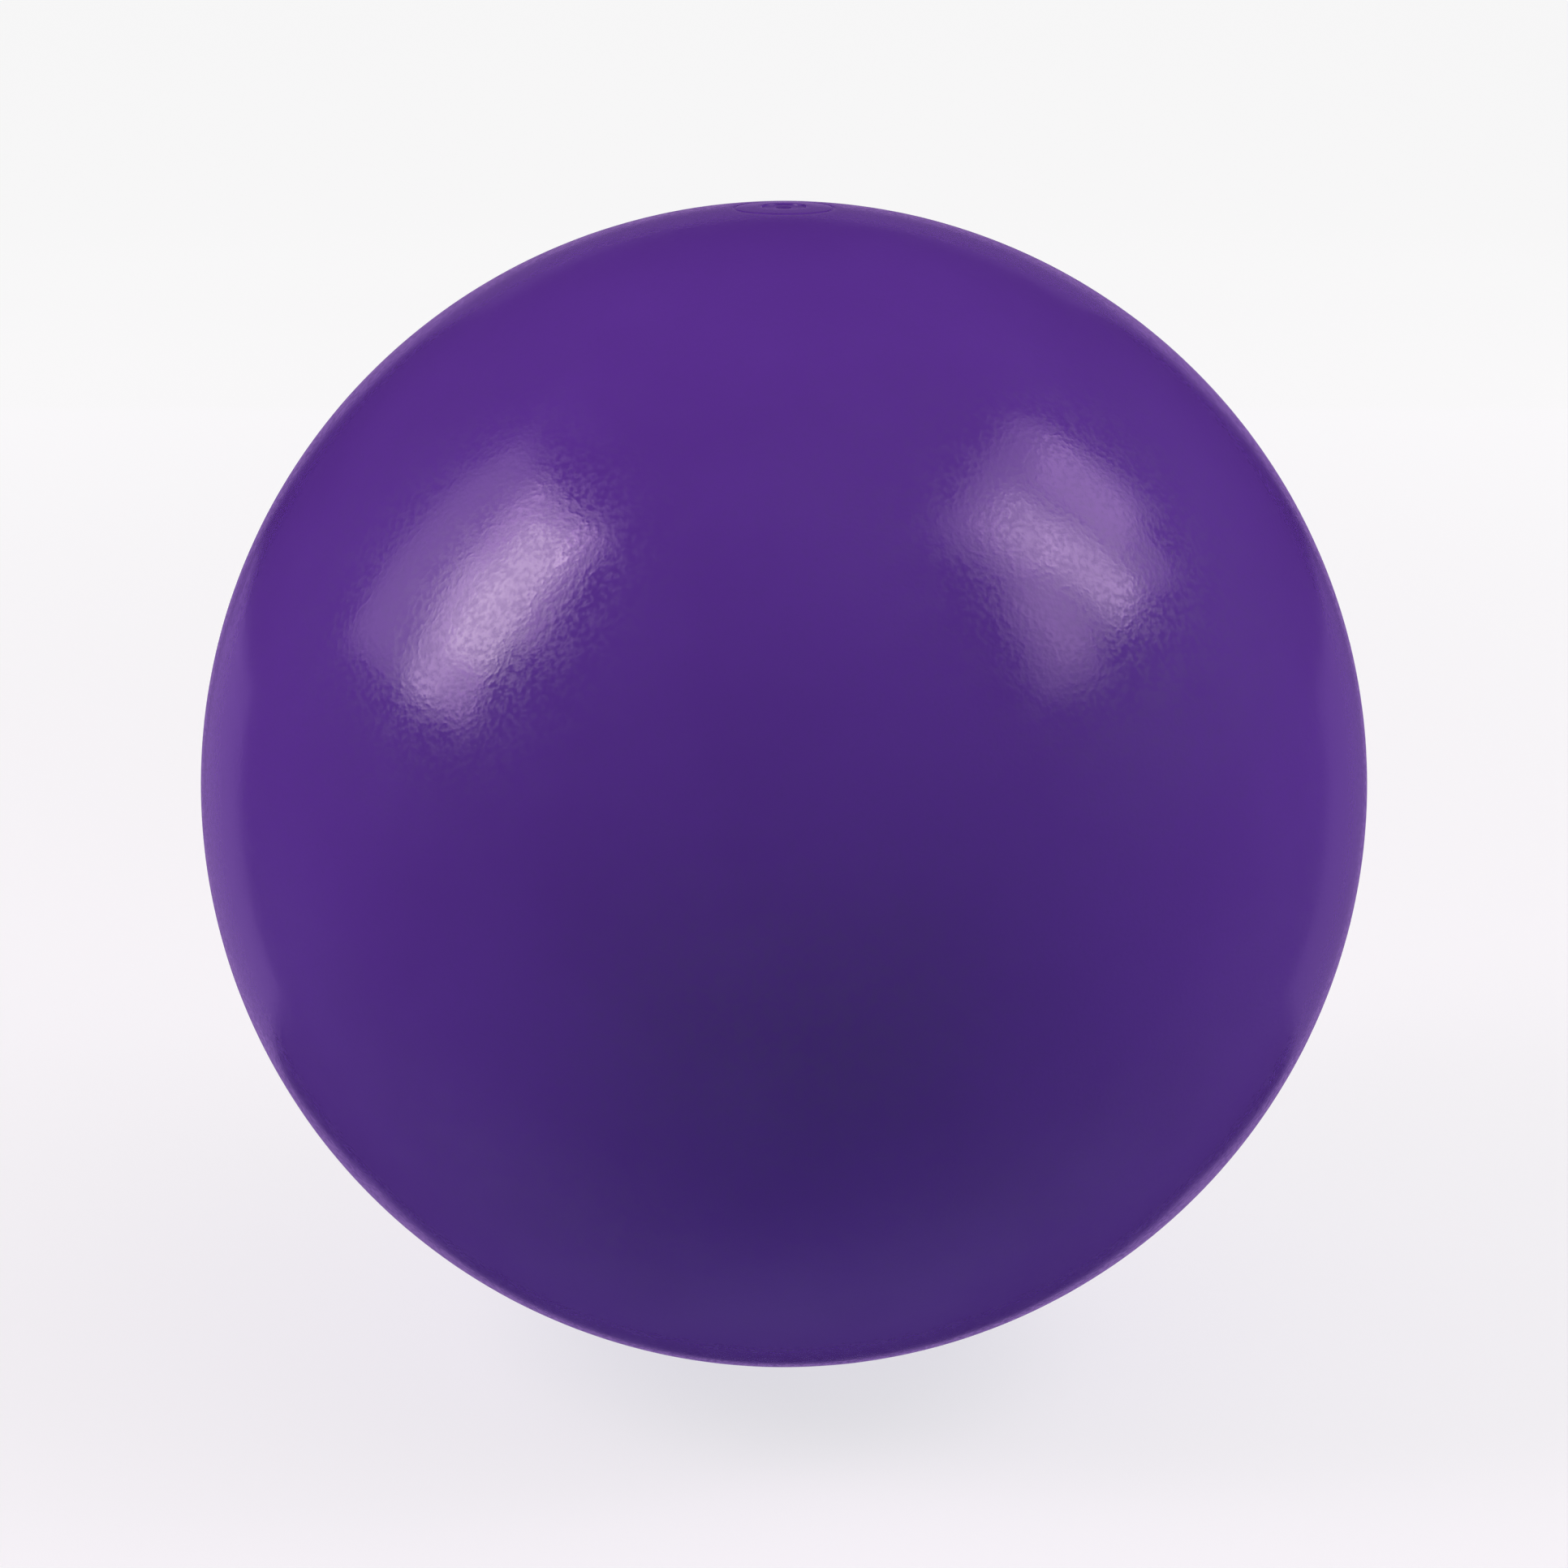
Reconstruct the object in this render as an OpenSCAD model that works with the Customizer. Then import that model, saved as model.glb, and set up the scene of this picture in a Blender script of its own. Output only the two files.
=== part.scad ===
// Inflatable rubber playground ball: a butyl bladder wound with thread, bedded in a
// cushion ply inside a moulded cover, with a self-sealing needle valve at the top.
// The origin is the centre of the ball, and +Z leaves it through the valve.

/* [Ball] */
// Outside diameter of the inflated ball
ball_d = 216; // [150:1:406]
// Thickness of the outer cover
cover_t = 1.4; // [1.2:0.1:2.4]
// Thickness of the cushion rubber under the cover
cushion_t = 0.4; // [0.3:0.1:0.6]
// Thickness of the thread winding with its latex
winding_t = 0.3; // [0.2:0.1:0.5]
// Thickness of the bladder
bladder_t = 0.7; // [0.5:0.1:1.0]

/* [Valve surround] */
// Radius of the hole in the cover
hole_r = 4.0; // [3.6:0.1:4.4]
// Radius of the moulded ring groove round the smooth disc
groove_r = 9.0; // [7.5:0.5:11]
// Width of that groove
groove_w = 0.8; // [0.4:0.1:1.2]
// Depth of that groove
groove_deep = 0.15; // [0.1:0.05:0.3]
// Radius of the fabric patch under the winding
patch_r = 20; // [16:1:24]
// Thickness of that patch
patch_t = 0.4; // [0.3:0.05:0.5]

/* [Valve housing] */
// Radius of the neck that passes through the bladder
neck_r = 5.4; // [5:0.1:6]
// Radius of the bore that grips the plug
bore_r = 2.5; // [2.2:0.1:2.8]
// Length of the boss below the flange
boss_l = 13; // [12:0.5:16]
// Radius of the boss at its inner end
boss_r = 5.0; // [4.4:0.1:6]
// Radius of the flange bonded inside the bladder
flange_r = 17; // [14:1:20]
// Thickness of the flange at the boss
flange_t = 1.6; // [1.2:0.1:2]
// Thickness of the flange at its feathered edge
flange_edge_t = 0.6; // [0.4:0.1:0.9]

/* [Valve plug] */
// Thickness of the plug's head
head_t = 1.4; // [1.2:0.1:1.6]
// Length of the plug's stem below the head
stem_l = 12; // [10:0.5:12]
// Radius of the needle channel
needle_r = 0.9; // [0.7:0.05:1.1]
// Depth of the needle channel below the head's top
needle_l = 10; // [7:0.5:10]

/* [Hidden] */

$fn = 128;
over = 1;                       // how far a cutter runs past the face it cuts
fit = 0.05;                     // radial clearance of the plug in its seat and bore

// Radii of the bonded layers, from the outside in
ball_r = ball_d / 2;
cushion_r = ball_r - cover_t;
winding_r = cushion_r - cushion_t;
bladder_r = winding_r - winding_t;
air_r = bladder_r - bladder_t;

// Heights on the valve's axis
rim_z = sqrt(ball_r * ball_r - hole_r * hole_r);
head_top_z = rim_z - 0.2;
seat_z = head_top_z - head_t;
neck_top_z = seat_z + head_t / 2;
flange_z = air_r - flange_t;
flange_edge_z = sqrt(air_r * air_r - flange_r * flange_r) - flange_edge_t;
boss_end_z = flange_z - boss_l;
stem_end_z = seat_z - stem_l;
port_r = 1.2;                   // air port in the closed end of the boss
port_z = stem_end_z - 0.6;      // floor of the bore, just under the stem

chamfer = 0.3;
mouth_r = needle_r + 0.7;       // funnel that leads the needle in
mouth_deep = 0.8;
rib_n = 4;                      // sealing ribs on the stem, left between shallow grooves
rib_pitch = 2.2;
rib_gap = 1.1;
rib_deep = 0.25;
rib_z = stem_end_z + 1.6;       // lower edge of the lowest groove

// Half sections to be turned about the valve's axis, as [radius, height]
housing_outline = [
    [0, boss_end_z],
    [boss_r - chamfer, boss_end_z],
    [boss_r, boss_end_z + chamfer],
    [boss_r + 1, flange_z - 1],
    [boss_r + 2, flange_z],
    [flange_r, flange_edge_z],
    [flange_r, ball_r],
    [0, ball_r]
];
bore_outline = [
    [0, boss_end_z - over],
    [port_r, boss_end_z - over],
    [port_r, port_z],
    [bore_r, port_z],
    [bore_r, seat_z],
    [hole_r, seat_z],
    [hole_r, neck_top_z + over],
    [0, neck_top_z + over]
];
head_r = hole_r - fit;
stem_r = bore_r - fit;
plug_outline = concat(
    [
        [0, stem_end_z],
        [stem_r - 2 * chamfer, stem_end_z],
        [stem_r, stem_end_z + 2 * chamfer]
    ],
    [
        for (i = [0 : rib_n - 1])
            for (p = [[0, 0], [rib_deep, rib_deep], [rib_deep, rib_gap - rib_deep], [0, rib_gap]])
                [stem_r - p[0], rib_z + i * rib_pitch + p[1]]
    ],
    [
        [stem_r, seat_z],
        [head_r, seat_z],
        [head_r, head_top_z - chamfer],
        [head_r - chamfer, head_top_z],
        [mouth_r, head_top_z],
        [needle_r, head_top_z - mouth_deep],
        [needle_r, head_top_z - needle_l],
        [0, head_top_z - needle_l]
    ]
);

cover_purple = "#55308a";
ply_grey = "#4a4648";
thread_cream = "#d9d0b8";
butyl_black = "#1d1c1e";
patch_tan = "#b09a74";

// A straight post on the valve's axis from height z0 to height z1
module post(r, z0, z1)
    translate([0, 0, z0]) cylinder(r = r, h = z1 - z0);

// A ball that bulges by the patch's thickness over a disc of radius pr at the top
module bulged_ball(r, pr) {
    sphere(r = r);
    intersection() {
        sphere(r = r + patch_t);
        post(pr, r / 2, r + patch_t + over);
    }
}

// A layer of the wall between two radii, lapped over the patch and open for the neck
module layer(outer, inner, lap)
    difference() {
        bulged_ball(outer, patch_r + lap + outer - inner);
        bulged_ball(inner, patch_r + lap);
        post(neck_r, inner / 2, outer + patch_t + over);
    }

// Outer cover, with the ring groove, the hole for the plug's head and a pocket that
// laps the rim of the neck
module cover() color(cover_purple)
    difference() {
        sphere(r = ball_r);
        bulged_ball(cushion_r, patch_r + winding_t + cushion_t);
        post(neck_r, cushion_r / 2, neck_top_z);
        post(hole_r, cushion_r / 2, ball_r + over);
        difference() {
            post(groove_r + groove_w / 2, ball_r / 2, ball_r + over);
            post(groove_r - groove_w / 2, ball_r / 2 - over, ball_r + 2 * over);
            sphere(r = ball_r - groove_deep);
        }
    }

module cushion_ply() color(ply_grey)
    layer(cushion_r, winding_r, winding_t);

module thread_winding() color(thread_cream)
    layer(winding_r, bladder_r, 0);

module bladder() color(butyl_black)
    difference() {
        sphere(r = bladder_r);
        sphere(r = air_r);
        post(neck_r, air_r / 2, bladder_r + over);
    }

// Disc of rubberised fabric cemented on the bladder round the neck
module valve_patch() color(patch_tan)
    difference() {
        intersection() {
            sphere(r = bladder_r + patch_t);
            post(patch_r, bladder_r / 2, ball_r);
        }
        sphere(r = bladder_r);
        post(neck_r, bladder_r / 2 - over, ball_r + over);
    }

// Flange bonded to the inside of the bladder, tapering boss that holds the plug, and
// neck that comes up to the underside of the cover
module valve_housing() color(butyl_black)
    difference() {
        union() {
            intersection() {
                sphere(r = air_r);
                rotate_extrude() polygon(housing_outline);
            }
            post(neck_r, flange_z, neck_top_z);
        }
        rotate_extrude() polygon(bore_outline);
    }

// Soft self-sealing plug: its channel takes an inflating needle, and the rubber below
// the channel closes again when the needle is drawn out
module valve_plug() color(cover_purple)
    rotate_extrude() polygon(plug_outline);

cover();
cushion_ply();
thread_winding();
bladder();
valve_patch();
valve_housing();
valve_plug();
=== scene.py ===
"""Playground rubber ball: grained cover, needle valve and the layers under the cover."""
import math

import bmesh
import bpy
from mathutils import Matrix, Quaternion, Vector


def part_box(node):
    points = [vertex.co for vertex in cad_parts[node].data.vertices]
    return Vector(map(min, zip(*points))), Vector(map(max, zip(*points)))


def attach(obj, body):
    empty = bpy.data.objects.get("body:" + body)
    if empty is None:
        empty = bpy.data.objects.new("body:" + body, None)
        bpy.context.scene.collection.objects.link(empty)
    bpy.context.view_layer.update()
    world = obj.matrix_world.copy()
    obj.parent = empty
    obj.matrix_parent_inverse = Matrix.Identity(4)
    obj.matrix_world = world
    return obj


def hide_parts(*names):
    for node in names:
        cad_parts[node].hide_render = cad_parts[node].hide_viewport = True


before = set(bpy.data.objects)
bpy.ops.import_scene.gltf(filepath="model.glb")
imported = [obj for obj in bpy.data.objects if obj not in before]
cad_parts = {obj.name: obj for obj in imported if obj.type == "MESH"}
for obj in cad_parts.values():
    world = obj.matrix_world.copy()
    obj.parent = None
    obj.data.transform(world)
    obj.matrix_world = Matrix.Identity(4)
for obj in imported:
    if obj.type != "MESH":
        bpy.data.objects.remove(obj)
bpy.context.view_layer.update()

bl_info = {
    "name": "Playground rubber ball",
    "version": (1, 0, 0),
    "blender": (4, 5, 0),
    "location": "3D View > Sidebar > Ball",
    "description": "Models and finishes a thread-wound playground ball with a needle valve",
    "category": "Add Mesh",
}

MM = 0.001

# Colours that the settings don't hold
# Painted shade for the inside of the needle hole
HOLE_PAINTED_SHADE = (0.012, 0.006, 0.022, 1)
BUTYL_BLACK = (0.012, 0.012, 0.013, 1)
TALC_BLOOM = (0.16, 0.16, 0.155, 1)
GUM_DARK = (0.055, 0.05, 0.05, 1)
GUM_PALE = (0.085, 0.078, 0.074, 1)
# Painted shade for the troughs of the winding thread
THREAD_PAINTED_SHADE = (0.30, 0.235, 0.14, 1)
THREAD_CREAM = (0.70, 0.62, 0.46, 1)
COTTON_DARK = (0.20, 0.135, 0.065, 1)
COTTON_PALE = (0.42, 0.32, 0.19, 1)

# Sizes that the frame already fixes
COVER_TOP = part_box("cover")[1].z
BALL_R = -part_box("cover")[0].z
HOLE_R = math.sqrt(BALL_R**2 - COVER_TOP**2)
CUSHION_R = -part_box("cushion_ply")[0].z
BLADDER_R = -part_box("bladder")[0].z
PATCH_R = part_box("valve_patch")[1].x
NECK_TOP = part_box("valve_housing")[1].z
PLUG_LOW, PLUG_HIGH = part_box("valve_plug")
HEAD_R = PLUG_HIGH.x


def height_on_ball(radius, from_axis):
    """Height of a point on a ball of that radius, at that distance from the upright axis."""
    return math.sqrt(radius**2 - from_axis**2)


# Modelling helpers


def start_piece(name):
    """Name the new primitive and open it for editing with nothing selected."""
    piece = bpy.context.object
    piece.name = name
    piece.data.name = name
    bpy.ops.object.mode_set(mode="EDIT")
    bpy.ops.mesh.select_mode(type="VERT")
    bpy.ops.mesh.select_all(action="DESELECT")
    return piece


def pick(piece, wanted, mode="VERT"):
    """Select only the vertices, edges or faces of the open piece that wanted() accepts."""
    bpy.ops.mesh.select_mode(type=mode)
    bpy.ops.mesh.select_all(action="DESELECT")
    mesh = bmesh.from_edit_mesh(piece.data)
    for item in {"VERT": mesh.verts, "EDGE": mesh.edges, "FACE": mesh.faces}[mode]:
        if wanted(item):
            item.select_set(True)
    mesh.select_flush_mode()
    bmesh.update_edit_mesh(piece.data)


def pull_ring(start, end):
    """Extrude the selected ring from one (radius, height) to another about the upright axis."""
    bpy.ops.mesh.extrude_edges_move()
    scale = end[0] / start[0]
    bpy.ops.transform.resize(value=(scale, scale, 1), center_override=(0, 0, start[1]))
    bpy.ops.transform.translate(value=(0, 0, end[1] - start[1]))


def pull_outline(outline):
    """Extrude the selected ring along a half section of (radius, height) points."""
    for start, end in zip(outline, outline[1:]):
        pull_ring(start, end)


def arc(centre, radius, start, end, steps):
    """Points of a half section on an arc, by angles in degrees from straight out."""
    angles = [math.radians(start + (end - start) * i / steps) for i in range(steps + 1)]
    return [(centre[0] + radius * math.cos(a), centre[1] + radius * math.sin(a)) for a in angles]


def close_piece(smooth_angle):
    """Turn the open piece's faces outwards, close it for editing and smooth it."""
    bpy.ops.mesh.select_all(action="SELECT")
    bpy.ops.mesh.remove_doubles(threshold=0.001 * MM)
    bpy.ops.mesh.normals_make_consistent(inside=False)
    bpy.ops.mesh.select_all(action="DESELECT")
    bpy.ops.object.mode_set(mode="OBJECT")
    bpy.ops.object.shade_smooth_by_angle(angle=smooth_angle)


def keep_modifier(piece, kind, **settings):
    """Add a modifier with those settings and apply it."""
    modifier = piece.modifiers.new(kind.title(), kind)
    for key, value in settings.items():
        setattr(modifier, key, value)
    bpy.ops.object.modifier_apply(modifier=modifier.name)


def finish_piece(piece, material, body, slot, *nodes):
    """Give the piece its material and tie it to the frame."""
    piece.data.materials.clear()
    piece.data.materials.append(material)
    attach(piece, body)
    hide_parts(*nodes)


def only_select_nothing():
    """Deselect every object before a new one is added."""
    bpy.ops.object.select_all(action="DESELECT")


# Shader maths


def _operator(operation, swapped=False):
    """A method that adds a Math node of that operation."""

    def apply(self, other):
        values = (other, self) if swapped else (self, other)
        return self.finish.math(operation, *values)

    return apply


class Wire:
    """One output of a finish's nodes, used in plain arithmetic with numbers and wires."""

    def __init__(self, finish, socket):
        self.finish = finish
        self.socket = socket

    __add__ = __radd__ = _operator("ADD")
    __sub__ = _operator("SUBTRACT")
    __rsub__ = _operator("SUBTRACT", swapped=True)
    __mul__ = __rmul__ = _operator("MULTIPLY")


class Finish:
    """A material whose nodes are written as expressions."""

    def __init__(self, name):
        self.material = bpy.data.materials.new(name)
        self.material.use_nodes = True
        self.tree = self.material.node_tree
        self.tree.nodes.clear()
        self.place = self.node("ShaderNodeTexCoord", output="Object")

    def node(self, kind, settings=None, sockets=None, output=0):
        """Add a node: its settings first, then the values and wires of its sockets."""
        made = self.tree.nodes.new(kind)
        for key, value in (settings or {}).items():
            setattr(made, key, value)
        for key, value in (sockets or {}).items():
            if isinstance(value, Wire):
                self.tree.links.new(value.socket, made.inputs[key])
            else:
                made.inputs[key].default_value = value
        return Wire(self, made.outputs[output]) if made.outputs else None

    def math(self, operation, *values):
        """A Math node on numbers and wires."""
        return self.node("ShaderNodeMath", {"operation": operation}, dict(enumerate(values)))

    def step(self, value, low, high, to_low=0.0, to_high=1.0):
        """Ease from to_low to to_high while the value goes from low to high."""
        sockets = dict(enumerate((value, low, high, to_low, to_high)))
        return self.node("ShaderNodeMapRange", {"interpolation_type": "SMOOTHSTEP"}, sockets)

    def blend(self, share, first, second):
        """Mix two colours by a share."""
        sockets = {0: share, 6: first, 7: second}
        return self.node("ShaderNodeMix", {"data_type": "RGBA"}, sockets, output=2)

    def noise(self, size, detail=2.0, rough=0.5, where=None):
        """Cloudy noise whose blobs are about that size across."""
        sockets = {"Vector": where or self.place, "Scale": 1 / size, "Detail": detail,
                   "Roughness": rough}
        return self.node("ShaderNodeTexNoise", None, sockets)

    def axis(self, name):
        """Distance from the centre along one axis."""
        return self.node("ShaderNodeSeparateXYZ", None, {0: self.place}, output=name)

    def shifted(self, amount):
        """The same places moved along, so that a second noise differs from the first."""
        sockets = {0: self.place, 1: (amount, amount, amount)}
        return self.node("ShaderNodeVectorMath", {"operation": "ADD"}, sockets)

    def from_axis(self):
        """Distance from the upright axis."""
        flat = self.node("ShaderNodeVectorMath", {"operation": "MULTIPLY"},
                         {0: self.place, 1: (1, 1, 0)})
        return self.node("ShaderNodeVectorMath", {"operation": "LENGTH"}, {0: flat},
                         output="Value")

    def bump(self, height, depth):
        """A normal that stands for relief of that depth, in metres."""
        sockets = {"Strength": 1.0, "Distance": depth, "Height": height}
        return self.node("ShaderNodeBump", None, sockets, output="Normal")

    def surface(self, **sockets):
        """End the material in a Principled surface and return the material."""
        named = {key.replace("_", " ").title().replace("Ior", "IOR"): value
                 for key, value in sockets.items()}
        shader = self.node("ShaderNodeBsdfPrincipled", None, named)
        self.node("ShaderNodeOutputMaterial", None, {"Surface": shader})
        return self.material


# Materials


def cover_rubber(looks):
    """Satin coloured rubber with a soft pebbled grain, smooth round the valve."""
    finish = Finish("cover_rubber")
    disc_fade = 1.5 * MM
    seam_core = 0.15 * MM
    seam_edge = 0.7 * MM
    away = finish.from_axis()
    upper = finish.step(finish.axis("Z"), 0.0, 0.5 * BALL_R)
    disc = finish.step(away, looks.smooth_r, looks.smooth_r + disc_fade, 1, 0) * upper
    seam = finish.step(finish.math("ABSOLUTE", finish.axis("Y")), seam_core, seam_edge, 1, 0)
    plain = finish.math("MAXIMUM", disc, seam * 0.7)

    pebbles = finish.noise(looks.grain_size, detail=1.0, rough=0.5)
    folds = finish.noise(4 * looks.grain_size, detail=1.0, where=finish.shifted(1.0))
    grain = pebbles * 0.75 + folds * 0.25
    relief = grain * (1 - plain) + seam * 0.25

    cloud = finish.noise(0.35 * BALL_R, detail=3.0)
    tint = finish.step(cloud, 0.3, 0.7)
    colour = finish.blend(tint, tuple(looks.colour_low), tuple(looks.colour_high))
    # Painted shade: the rubber is a little darker in the hollows of the grain
    hollow_shade = finish.step(pebbles, 0.3, 0.5, 1, 0) * (1 - plain)
    colour = finish.blend(hollow_shade * 0.12, colour, tuple(looks.colour_hollow_shade))
    matt = finish.step(grain, 0.36, 0.64, looks.matt, -looks.matt) * (1 - plain)
    rough = looks.roughness + (cloud - 0.5) * 0.06 + matt
    return finish.surface(
        base_color=colour,
        roughness=rough,
        normal=finish.bump(relief, looks.grain_depth),
        ior=1.5,
    )


def plug_rubber(looks):
    """Softer, smoother rubber of the same colour, with painted shade darkening the needle hole.
    """
    finish = Finish("plug_rubber")
    depth = finish.axis("Z")
    # Painted shade: the needle channel darkens towards its axis and further down
    hole_shade = finish.step(finish.from_axis(), 1.0 * MM, 1.9 * MM, 1, 0)
    hole_shade = hole_shade * finish.step(depth, PLUG_HIGH.z - 3 * MM, PLUG_HIGH.z - 0.1 * MM, 1, 0.25)
    speck = finish.noise(0.5 * MM, detail=3.0)
    colour = finish.blend(speck * 0.5, tuple(looks.colour_low), tuple(looks.colour_high))
    colour = finish.blend(hole_shade, colour, HOLE_PAINTED_SHADE)
    return finish.surface(
        base_color=colour,
        roughness=looks.roughness + speck * 0.08,
        normal=finish.bump(speck, 0.01 * MM),
        ior=1.5,
    )


def butyl_rubber():
    """Black butyl with a faint bloom of release talc."""
    finish = Finish("butyl")
    bloom = finish.step(finish.noise(9 * MM, detail=5.0, rough=0.62), 0.45, 0.75)
    skin = finish.noise(0.8 * MM, detail=2.0)
    colour = finish.blend(bloom * 0.22, BUTYL_BLACK, TALC_BLOOM)
    return finish.surface(
        base_color=colour,
        roughness=0.48 + bloom * 0.3,
        normal=finish.bump(skin, 0.02 * MM),
        ior=1.52,
    )


def carcass_rubber():
    """Dull grey cushion gum, with the marks of the rolls that sheeted it."""
    finish = Finish("carcass_rubber")
    stretch = finish.node("ShaderNodeMapping", None, {0: finish.place, 3: (0.25, 1.0, 1.0)})
    marks = finish.noise(1.2 * MM, detail=3.0, where=stretch)
    stain = finish.step(finish.noise(25 * MM, detail=3.0), 0.35, 0.65)
    colour = finish.blend(stain, GUM_DARK, GUM_PALE)
    return finish.surface(
        base_color=colour,
        roughness=0.62 + marks * 0.18,
        normal=finish.bump(marks, 0.04 * MM),
    )


def winding_thread():
    """Cream thread laid over the bladder in many great circles, set in latex."""
    finish = Finish("winding_thread")
    pitch = 0.55 * MM
    relief, shade = 0.0, 0.0
    for lay, lean in enumerate((0.35, 1.45, 2.5)):
        across = (math.cos(lean), math.sin(lean) * math.cos(lay), math.sin(lean) * math.sin(lay))
        place = finish.node("ShaderNodeVectorMath", {"operation": "DOT_PRODUCT"},
                            {0: finish.place, 1: across}, output="Value")
        thread = finish.math("SINE", place * (2 * math.pi / pitch)) * 0.5 + 0.5
        over = finish.step(finish.noise(7 * MM, where=finish.shifted(lay)), 0.42, 0.58)
        relief = thread * over + relief
        # Painted shade: the thread is darker in the troughs between turns and where one lay runs
        # under another
        shade = over * (0.5 + 0.5 * thread) + shade
    shade = finish.step(shade, 0.0, 2.2)
    colour = finish.blend(shade, THREAD_PAINTED_SHADE, THREAD_CREAM)
    return finish.surface(
        base_color=colour,
        roughness=0.58 + shade * 0.15,
        normal=finish.bump(relief, 0.07 * MM),
    )


def patch_fabric():
    """Rubberised cotton, plain woven."""
    finish = Finish("patch_fabric")
    thread_pitch = 0.9 * MM
    turns = 2 * math.pi / thread_pitch
    warp = finish.math("SINE", finish.axis("X") * turns)
    weft = finish.math("SINE", finish.axis("Y") * turns)
    weave = warp * weft * 0.5 + 0.5
    slub = finish.noise(2.5 * MM, detail=3.0)
    # Painted shade: the cotton is darker where the weave sinks; the slubs add the cotton's own
    # uneven tone
    colour = finish.blend(weave * 0.6 + slub * 0.3, COTTON_DARK, COTTON_PALE)
    return finish.surface(
        base_color=colour,
        roughness=0.7 + slub * 0.15,
        normal=finish.bump(weave + slub * 0.4, 0.06 * MM),
    )


def pale_floor(looks):
    """Matt pale studio paper that brightens a little away from the ball."""
    finish = Finish("studio_paper")
    near = 0.12 * looks.floor_r
    far = 0.95 * looks.floor_r
    glow = finish.step(finish.from_axis(), near, far, looks.floor_glow, looks.wall_glow)
    return finish.surface(
        base_color=tuple(looks.floor_colour),
        roughness=0.9,
        emission_color=glow,
        emission_strength=1.0,
    )


# Settings


class CoverSettings(bpy.types.PropertyGroup):
    """Sizes of the cover and the look of its rubber."""

    around: bpy.props.IntProperty(
        name="Facets around", description="Facets round the cover's equator", default=352)
    ring_r: bpy.props.FloatProperty(
        name="Ring radius", description="Radius of the moulded ring round the valve",
        default=9 * MM, unit="LENGTH")
    ring_w: bpy.props.FloatProperty(
        name="Ring width", description="Width of the moulded ring groove",
        default=0.8 * MM, unit="LENGTH")
    ring_deep: bpy.props.FloatProperty(
        name="Ring depth", description="Depth of the moulded ring groove",
        default=0.15 * MM, unit="LENGTH")
    lip: bpy.props.FloatProperty(
        name="Hole lip", description="Rounding of the edge of the valve hole",
        default=0.3 * MM, unit="LENGTH")
    neck_r: bpy.props.FloatProperty(
        name="Neck radius", description="Radius of the housing's neck under the cover",
        default=5.4 * MM, unit="LENGTH")
    patch_t: bpy.props.FloatProperty(
        name="Patch thickness", description="How far the patch lifts the layers above it",
        default=0.4 * MM, unit="LENGTH")
    ripple_deep: bpy.props.FloatProperty(
        name="Ripple depth", description="Depth of the slow unevenness of the moulded skin",
        default=0.03 * MM, unit="LENGTH")
    ripple_size: bpy.props.FloatProperty(
        name="Ripple size", description="Size of one ripple of the skin",
        default=9 * MM, unit="LENGTH")


class RubberLooks(bpy.types.PropertyGroup):
    """Colours and grain of the visible rubber."""

    colour_low: bpy.props.FloatVectorProperty(
        name="Rubber, darker", description="Darker end of the rubber's slow colour drift",
        subtype="COLOR", size=4, default=(0.090, 0.0308, 0.247, 1))
    colour_high: bpy.props.FloatVectorProperty(
        name="Rubber, lighter", description="Lighter end of the rubber's slow colour drift",
        subtype="COLOR", size=4, default=(0.096, 0.0335, 0.263, 1))
    # Painted shade for the hollows of the grain
    colour_hollow_shade: bpy.props.FloatVectorProperty(
        name="Rubber in hollows", description="Colour in the hollows of the grain",
        subtype="COLOR", size=4, default=(0.080, 0.027, 0.225, 1))
    roughness: bpy.props.FloatProperty(
        name="Roughness", description="Roughness of the rubber", default=0.18, min=0, max=1)
    matt: bpy.props.FloatProperty(
        name="Matt hollows", description="How much rougher the hollows of the grain are",
        default=0.07)
    grain_size: bpy.props.FloatProperty(
        name="Grain size", description="Size of one pebble of the moulded grain",
        default=0.95 * MM, unit="LENGTH")
    grain_depth: bpy.props.FloatProperty(
        name="Grain depth", description="Depth of the moulded grain",
        default=0.034 * MM, unit="LENGTH")
    smooth_r: bpy.props.FloatProperty(
        name="Smooth disc radius", description="Radius of the ungrained disc round the valve",
        default=9.4 * MM, unit="LENGTH")


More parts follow.
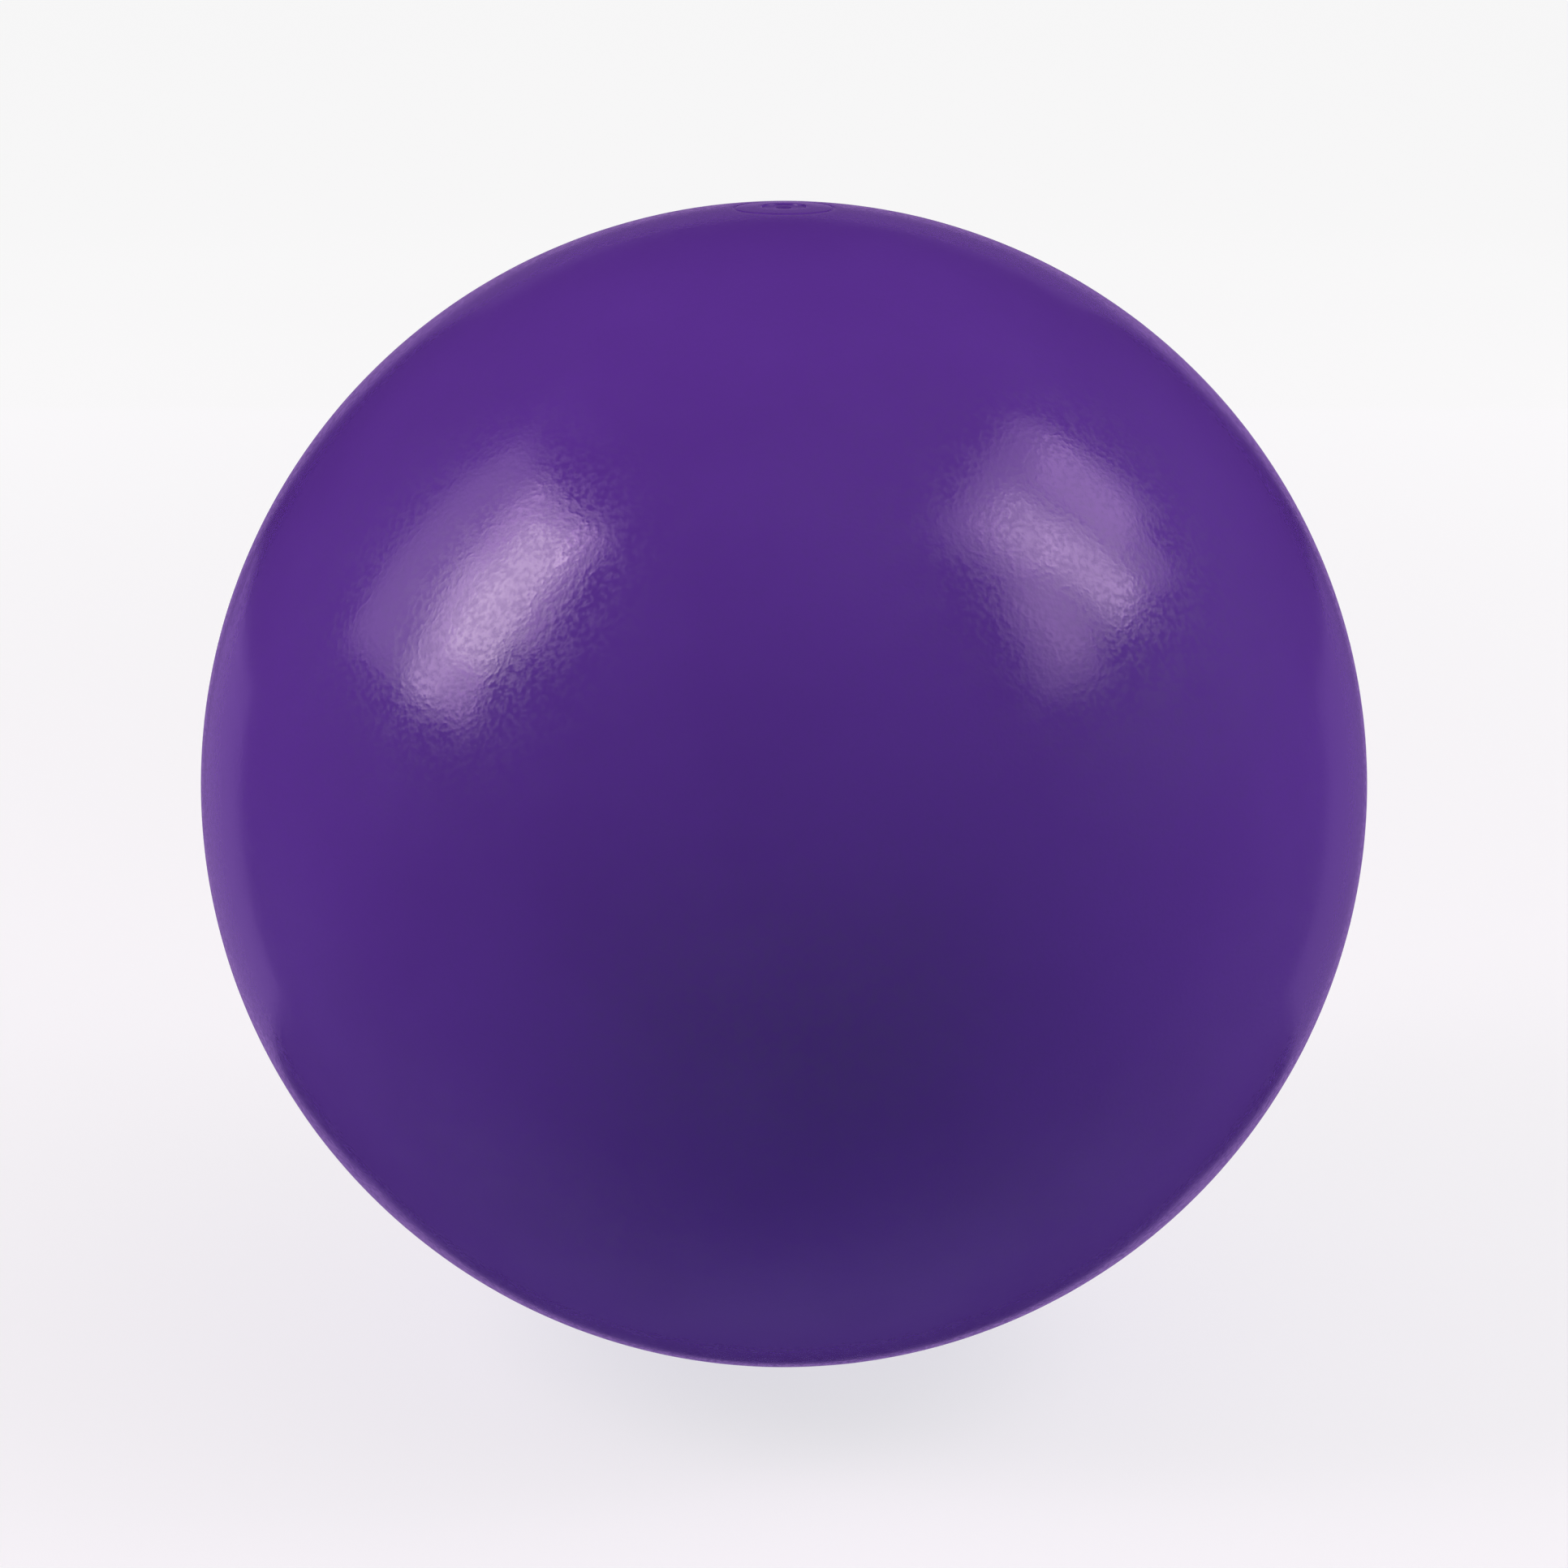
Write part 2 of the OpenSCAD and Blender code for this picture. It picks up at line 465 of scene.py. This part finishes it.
class PlugSettings(bpy.types.PropertyGroup):
    """Sizes of the valve plug."""

    around: bpy.props.IntProperty(
        name="Facets around", description="Facets round the plug", default=96)
    head_t: bpy.props.FloatProperty(
        name="Head thickness", description="Thickness of the plug's head",
        default=1.4 * MM, unit="LENGTH")
    stem_r: bpy.props.FloatProperty(
        name="Stem radius", description="Radius of the stem over its ribs",
        default=2.45 * MM, unit="LENGTH")
    tip: bpy.props.FloatProperty(
        name="Tip rounding", description="Rounding of the stem's inner end",
        default=0.6 * MM, unit="LENGTH")
    grooves: bpy.props.IntProperty(
        name="Grooves", description="Shallow grooves that leave sealing ribs", default=4)
    groove_first: bpy.props.FloatProperty(
        name="First groove", description="Height of the lowest groove above the stem's end",
        default=1.6 * MM, unit="LENGTH")
    groove_pitch: bpy.props.FloatProperty(
        name="Groove pitch", description="Distance between grooves",
        default=2.2 * MM, unit="LENGTH")
    groove_w: bpy.props.FloatProperty(
        name="Groove width", description="Width of one groove", default=1.1 * MM, unit="LENGTH")
    groove_deep: bpy.props.FloatProperty(
        name="Groove depth", description="Depth of one groove", default=0.25 * MM, unit="LENGTH")
    edge: bpy.props.FloatProperty(
        name="Head edge", description="Rounding of the head's edge",
        default=0.3 * MM, unit="LENGTH")
    needle_r: bpy.props.FloatProperty(
        name="Needle channel radius", description="Radius of the channel for the needle",
        default=0.9 * MM, unit="LENGTH")
    needle_l: bpy.props.FloatProperty(
        name="Needle channel depth", description="Depth of the channel below the head's top",
        default=10 * MM, unit="LENGTH")
    mouth: bpy.props.FloatProperty(
        name="Mouth rounding", description="Rounding of the channel's mouth",
        default=0.75 * MM, unit="LENGTH")


class StudioSettings(bpy.types.PropertyGroup):
    """Camera, floor and lights."""

    lens: bpy.props.FloatProperty(
        name="Lens", description="Focal length in millimetres", default=100)
    camera_up: bpy.props.FloatProperty(
        name="Camera elevation", description="Angle of the camera above the horizon",
        default=math.radians(15), subtype="ANGLE")
    frame_share: bpy.props.FloatProperty(
        name="Share of the frame", description="The ball's share of the picture's width",
        default=0.744)
    floor_r: bpy.props.FloatProperty(
        name="Floor radius", description="Radius of the flat middle of the sweep",
        default=1.6, unit="LENGTH")
    sweep_r: bpy.props.FloatProperty(
        name="Sweep radius", description="Radius of the curve from floor to wall",
        default=1.8, unit="LENGTH")
    floor_colour: bpy.props.FloatVectorProperty(
        name="Floor colour", description="Colour of the floor and the wall behind",
        subtype="COLOR", size=4, default=(0.22, 0.22, 0.22, 1))
    floor_glow: bpy.props.FloatProperty(
        name="Floor glow", description="Brightness that the floor has without the panels",
        default=0.69)
    wall_glow: bpy.props.FloatProperty(
        name="Wall glow", description="Brightness that the wall has without the panels",
        default=0.87)
    ambient: bpy.props.FloatProperty(
        name="Room light", description="Strength of the even light of the room", default=0.17)
    panel_away: bpy.props.FloatProperty(
        name="Panel distance", description="Distance of every soft panel from the ball",
        default=1, unit="LENGTH")
    box_tint: bpy.props.FloatVectorProperty(
        name="Softbox tint", description="Colour of the large softboxes",
        subtype="COLOR", default=(0.95, 0.63, 1.0))
    core_tint: bpy.props.FloatVectorProperty(
        name="Core tint", description="Colour of the bright middle of the softboxes",
        subtype="COLOR", default=(1.0, 0.90, 0.80))
    rim_tint: bpy.props.FloatVectorProperty(
        name="Rim tint", description="Colour of the dim panels behind the ball",
        subtype="COLOR", default=(0.71, 0.43, 1.0))
    bounce_tint: bpy.props.FloatVectorProperty(
        name="Bounce tint", description="Colour of the light bounced from the room",
        subtype="COLOR", default=(1.0, 1.0, 1.0))
    fill_tint: bpy.props.FloatVectorProperty(
        name="Fill tint", description="Colour of the low light in front",
        subtype="COLOR", default=(0.62, 1.0, 1.0))


# Operators


class BALL_OT_cover(bpy.types.Operator):
    """Model the outer cover: grained skin, valve surround, hole and lapped inside"""

    bl_idname = "ball.cover"
    bl_label = "Cover"

    def execute(self, context):
        sizes = context.scene.ball_cover
        only_select_nothing()
        bpy.ops.mesh.primitive_uv_sphere_add(
            segments=sizes.around // 2, ring_count=sizes.around // 4, radius=CUSHION_R)
        inside = start_piece("cover_inside")
        self.open_cap(inside, PATCH_R + 2 * MM)
        bpy.ops.object.mode_set(mode="OBJECT")

        only_select_nothing()
        bpy.ops.mesh.primitive_uv_sphere_add(
            segments=sizes.around, ring_count=sizes.around // 2, radius=BALL_R)
        cover = start_piece("outer_cover")
        edge_r, edge_z = self.open_cap(cover, sizes.ring_r + 2 * MM)
        pull_outline([(edge_r, edge_z)] + self.surround(sizes) + self.underside(sizes))
        bpy.ops.object.mode_set(mode="OBJECT")

        inside.select_set(True)
        bpy.ops.object.join()
        bpy.ops.object.mode_set(mode="EDIT")
        pick(cover, lambda edge: edge.is_boundary, "EDGE")
        bpy.ops.mesh.bridge_edge_loops()
        close_piece(math.radians(35))
        self.ripple_skin(cover, sizes)
        finish_piece(cover, cover_rubber(context.scene.ball_rubber), "ball",
                     "cover_rubber", "cover")
        return {"FINISHED"}

    def open_cap(self, piece, radius):
        """Delete the cap round the valve's axis, select its edge and return where that is."""
        pick(piece, lambda v: v.co.z > 0 and v.co.xy.length < radius)
        bpy.ops.mesh.delete(type="VERT")
        pick(piece, lambda edge: edge.is_boundary, "EDGE")
        mesh = bmesh.from_edit_mesh(piece.data)
        rim = next(v for v in mesh.verts if v.select)
        return rim.co.xy.length, rim.co.z

    def surround(self, sizes):
        """Half section of the smooth disc, its ring groove and the hole, going inwards."""
        steps = 10
        outer = sizes.ring_r + sizes.ring_w / 2
        points = [(outer + 1 * MM, height_on_ball(BALL_R, outer + 1 * MM))]
        for i in range(steps + 1):
            radius = outer - sizes.ring_w * i / steps
            dip = sizes.ring_deep * (1 - math.cos(2 * math.pi * i / steps)) / 2
            points.append((radius, height_on_ball(BALL_R, radius) - dip))
        lip_r = HOLE_R + sizes.lip
        inner = outer - sizes.ring_w
        for i in range(1, 4):
            radius = inner + (lip_r - inner) * i / 4
            points.append((radius, height_on_ball(BALL_R, radius)))
        lip_z = height_on_ball(BALL_R, lip_r) - sizes.lip
        return points + arc((lip_r, lip_z), sizes.lip, 90, 180, 6)

    def underside(self, sizes):
        """Half section of the hole's wall and of the pocket over the neck and the patch."""
        steps = 6
        lift = CUSHION_R + sizes.patch_t
        gap = 0.02 * MM
        neck = sizes.neck_r + gap
        lap = PATCH_R + CUSHION_R - BLADDER_R
        points = [(HOLE_R, NECK_TOP + gap), (neck, NECK_TOP + gap)]
        for i in range(steps + 1):
            radius = neck + (lap - neck) * i / steps
            points.append((radius, height_on_ball(lift, radius)))
        return points + [(lap, height_on_ball(CUSHION_R, lap))]

    def ripple_skin(self, cover, sizes):
        """Sink the grained skin by a slow, shallow unevenness that dies out at the valve."""
        skin = cover.vertex_groups.new(name="grained_skin")
        fade = 4 * MM
        start = sizes.ring_r + 2 * MM
        for vertex in cover.data.vertices:
            if vertex.co.length > BALL_R - 0.01 * MM:
                away = vertex.co.xy.length if vertex.co.z > 0 else BALL_R
                weight = min(max((away - start) / fade, 0), 1)
                skin.add([vertex.index], weight, "REPLACE")
        clouds = bpy.data.textures.new("skin_ripple", "CLOUDS")
        clouds.noise_scale = sizes.ripple_size
        clouds.noise_depth = 1
        keep_modifier(cover, "DISPLACE", texture=clouds, texture_coords="LOCAL",
                      strength=sizes.ripple_deep, mid_level=1.0, vertex_group=skin.name)


class BALL_OT_plug(bpy.types.Operator):
    """Model the valve plug: head, ribbed stem and needle channel"""

    bl_idname = "ball.plug"
    bl_label = "Valve plug"

    def execute(self, context):
        sizes = context.scene.ball_plug
        outline = self.outside(sizes) + self.channel(sizes)
        only_select_nothing()
        bpy.ops.mesh.primitive_circle_add(
            vertices=sizes.around, radius=outline[0][0], fill_type="NGON",
            location=(0, 0, outline[0][1]))
        bpy.ops.object.transform_apply(location=True, rotation=False, scale=False)
        plug = start_piece("needle_plug")
        pick(plug, lambda edge: edge.is_boundary, "EDGE")
        pull_outline(outline)
        bpy.ops.mesh.edge_face_add()
        close_piece(math.radians(40))
        finish_piece(plug, plug_rubber(context.scene.ball_rubber), "plug",
                     "plug_rubber", "valve_plug")
        return {"FINISHED"}

    def outside(self, sizes):
        """Half section from the stem's end up to the head's edge."""
        seat = PLUG_HIGH.z - sizes.head_t
        tip = (sizes.stem_r - sizes.tip, PLUG_LOW.z + sizes.tip)
        points = arc(tip, sizes.tip, -90, 0, 8)
        steps = 8
        for groove in range(sizes.grooves):
            low = PLUG_LOW.z + sizes.groove_first + groove * sizes.groove_pitch
            for i in range(steps + 1):
                dip = sizes.groove_deep * (1 - math.cos(2 * math.pi * i / steps)) / 2
                points.append((sizes.stem_r - dip, low + sizes.groove_w * i / steps))
        points += [(sizes.stem_r, seat), (HEAD_R, seat)]
        edge = (HEAD_R - sizes.edge, PLUG_HIGH.z - sizes.edge)
        return points + arc(edge, sizes.edge, 0, 90, 8)

    def channel(self, sizes):
        """Half section across the head's top, over the rounded mouth and down the channel."""
        mouth_r = sizes.needle_r + sizes.mouth
        dish = 0.06 * MM
        top = PLUG_HIGH.z - dish
        points = [((HEAD_R + mouth_r) / 2, top)]
        points += arc((mouth_r, top - sizes.mouth), sizes.mouth, 90, 180, 10)
        floor = PLUG_HIGH.z - sizes.needle_l
        points += [(sizes.needle_r, floor + sizes.needle_r), (sizes.needle_r / 2, floor)]
        return points


class BALL_OT_inside(bpy.types.Operator):
    """Finish the layers and the valve housing that the cover hides"""

    bl_idname = "ball.inside"
    bl_label = "Inside layers"

    def execute(self, context):
        butyl = butyl_rubber()
        finishes = {
            "bladder": butyl,
            "valve_housing": butyl,
            "cushion_ply": carcass_rubber(),
            "thread_winding": winding_thread(),
            "valve_patch": patch_fabric(),
        }
        for node, finish in finishes.items():
            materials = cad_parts[node].data.materials
            materials.clear()
            materials.append(finish)
        return {"FINISHED"}


class BALL_OT_stage(bpy.types.Operator):
    """Set the pale floor, the soft lights and the camera"""

    bl_idname = "ball.stage"
    bl_label = "Studio"

    def execute(self, context):
        studio = context.scene.ball_studio
        self.lay_floor(studio)
        self.light_room(context.scene, studio)
        for name, panel in SOFTBOXES.items():
            self.hang_panel(context.scene, name, True, *panel)
        for name, panel in BOUNCES.items():
            self.hang_panel(context.scene, name, False, *panel)
        self.set_camera(context.scene, studio)
        return {"FINISHED"}

    def lay_floor(self, studio):
        """A round floor that sweeps up into a wall all round."""
        only_select_nothing()
        bpy.ops.mesh.primitive_circle_add(
            vertices=128, radius=studio.floor_r, fill_type="NGON", location=(0, 0, -BALL_R))
        bpy.ops.object.transform_apply(location=True, rotation=False, scale=False)
        sweep = start_piece("studio_sweep")
        pick(sweep, lambda edge: edge.is_boundary, "EDGE")
        curve = arc((studio.floor_r, studio.sweep_r - BALL_R), studio.sweep_r, -90, 0, 32)
        pull_outline(curve + [(curve[-1][0], 2.5 * studio.sweep_r)])
        bpy.ops.object.mode_set(mode="OBJECT")
        bpy.ops.object.shade_smooth_by_angle(angle=math.radians(30))
        sweep.data.materials.append(pale_floor(studio))
        for ray in ("visible_diffuse", "visible_glossy", "visible_shadow"):
            setattr(sweep, ray, False)

    def light_room(self, scene, studio):
        """Even light from all round, which the rubber doesn't mirror."""
        room = bpy.data.worlds.new("studio_room")
        room.use_nodes = True
        background = room.node_tree.nodes["Background"]
        background.inputs["Color"].default_value = (1, 1, 1, 1)
        background.inputs["Strength"].default_value = studio.ambient
        scene.world = room
        room.cycles_visibility.glossy = False

    def hang_panel(self, scene, name, mirrored, around, up, wide, tall, lean, strength, tint):
        """A soft panel that faces the ball from a direction, unseen by the camera."""
        light = bpy.data.lights.new(name, "AREA")
        light.shape = "RECTANGLE"
        light.size = wide
        light.size_y = tall
        # The power that gives the whole panel an even brightness of that strength
        light.energy = strength * wide * tall * math.pi
        light.color = getattr(scene.ball_studio, tint)
        panel = bpy.data.objects.new(name, light)
        scene.collection.objects.link(panel)
        around, up = math.radians(around), math.radians(up)
        direction = Vector((math.sin(around) * math.cos(up), -math.cos(around) * math.cos(up),
                            math.sin(up)))
        panel.location = direction * scene.ball_studio.panel_away
        turn = direction.to_track_quat("Z", "Y") @ Quaternion((0, 0, 1), math.radians(lean))
        panel.rotation_euler = turn.to_euler()
        panel.visible_camera = False
        panel.visible_glossy = mirrored
        # The rims show only as reflections and leave the floor and the rubber's own colour alone
        panel.visible_diffuse = tint != "rim_tint"

    def set_camera(self, scene, studio):
        """A long lens that looks at the ball's centre from in front and a little above."""
        camera_data = bpy.data.cameras.new("camera")
        camera_data.lens = studio.lens
        half = camera_data.sensor_width / 2 / studio.lens
        away = BALL_R / math.sin(math.atan(half * studio.frame_share))
        up = studio.camera_up
        back = Vector((0, -math.cos(up), math.sin(up)))
        camera = bpy.data.objects.new("camera", camera_data)
        camera.location = back * away
        camera.rotation_euler = back.to_track_quat("Z", "Y").to_euler()
        scene.collection.objects.link(camera)
        scene.camera = camera
        scene.view_settings.view_transform = "Standard"


# Softboxes that the rubber mirrors: degrees round the ball and up, width and height in
# metres, lean in degrees, strength and the setting that holds their tint
SOFTBOXES = {
    "left_box": (-71, 35, 0.30, 0.66, 0, 4.9, "box_tint"),
    "left_core": (-67, 37, 0.20, 0.42, 0, 4.5, "core_tint"),
    "left_middle": (-76, 28, 0.20, 0.40, 0, 1.6, "core_tint"),
    "left_edge": (-57, 42, 0.12, 0.40, 0, 3.6, "box_tint"),
    "left_glow": (-91, 35, 0.28, 0.66, 0, 1.6, "box_tint"),
    "right_box": (78, 44, 0.62, 0.56, 0, 1.6, "box_tint"),
    "right_core": (76, 41, 0.20, 0.42, 20, 1.7, "core_tint"),
    "right_spot": (78, 37, 0.16, 0.30, 20, 2.8, "box_tint"),
    "right_corner": (68, 48, 0.22, 0.22, 0, 2.6, "box_tint"),
    "right_side": (96, 44, 0.25, 0.30, 0, 1.8, "box_tint"),
    "right_low": (60, 32, 0.25, 0.30, 0, 1.7, "box_tint"),
    "rim_left": (-138, -14, 0.50, 0.50, 0, 0.41, "rim_tint"),
    "rim_right": (138, -14, 0.50, 0.50, 0, 0.26, "rim_tint"),
    "rim_top": (180, 18, 0.80, 0.30, 0, 0.20, "rim_tint"),
    "rim_back": (180, -15, 0.95, 0.95, 0, 0.43, "rim_tint"),
}
# Bounced light that the rubber doesn't mirror, in the same terms
BOUNCES = {
    "side_left": (-95, 25, 1.40, 0.85, 0, 0.95, "bounce_tint"),
    "side_right": (95, 25, 1.40, 0.85, 0, 1.60, "bounce_tint"),
    "high_right": (50, 65, 0.80, 0.80, 0, 0.70, "bounce_tint"),
    "behind": (180, 35, 1.60, 1.20, 0, 0.20, "bounce_tint"),
    "under_left": (-138, -48, 1.50, 1.50, 0, 2.00, "bounce_tint"),
    "under_right": (138, -48, 1.50, 1.50, 0, 2.00, "bounce_tint"),
    "low_front": (0, -28, 1.20, 0.80, 0, 0.97, "fill_tint"),
}


class BALL_PT_panel(bpy.types.Panel):
    """The ball's settings and steps"""

    bl_label = "Playground ball"
    bl_idname = "BALL_PT_panel"
    bl_space_type = "VIEW_3D"
    bl_region_type = "UI"
    bl_category = "Ball"

    def draw(self, context):
        for group, steps in STEPS.items():
            box = self.layout.box()
            settings = getattr(context.scene, group)
            for key in settings.__annotations__:
                box.prop(settings, key)
            for step in steps:
                box.operator(step)


STEPS = {
    "ball_cover": ("ball.cover",),
    "ball_rubber": ("ball.inside",),
    "ball_plug": ("ball.plug",),
    "ball_studio": ("ball.stage",),
}
SETTINGS = {
    "ball_cover": CoverSettings,
    "ball_rubber": RubberLooks,
    "ball_plug": PlugSettings,
    "ball_studio": StudioSettings,
}
OPERATORS = (BALL_OT_cover, BALL_OT_plug, BALL_OT_inside, BALL_OT_stage)
CLASSES = (*SETTINGS.values(), *OPERATORS, BALL_PT_panel)


def register():
    for each in CLASSES:
        bpy.utils.register_class(each)
    for name, group in SETTINGS.items():
        setattr(bpy.types.Scene, name, bpy.props.PointerProperty(type=group))


def unregister():
    for name in SETTINGS:
        delattr(bpy.types.Scene, name)
    for each in reversed(CLASSES):
        bpy.utils.unregister_class(each)


def main():
    register()
    bpy.ops.ball.cover()
    bpy.ops.ball.plug()
    bpy.ops.ball.inside()
    bpy.ops.ball.stage()


if __name__ == "__main__":
    main()
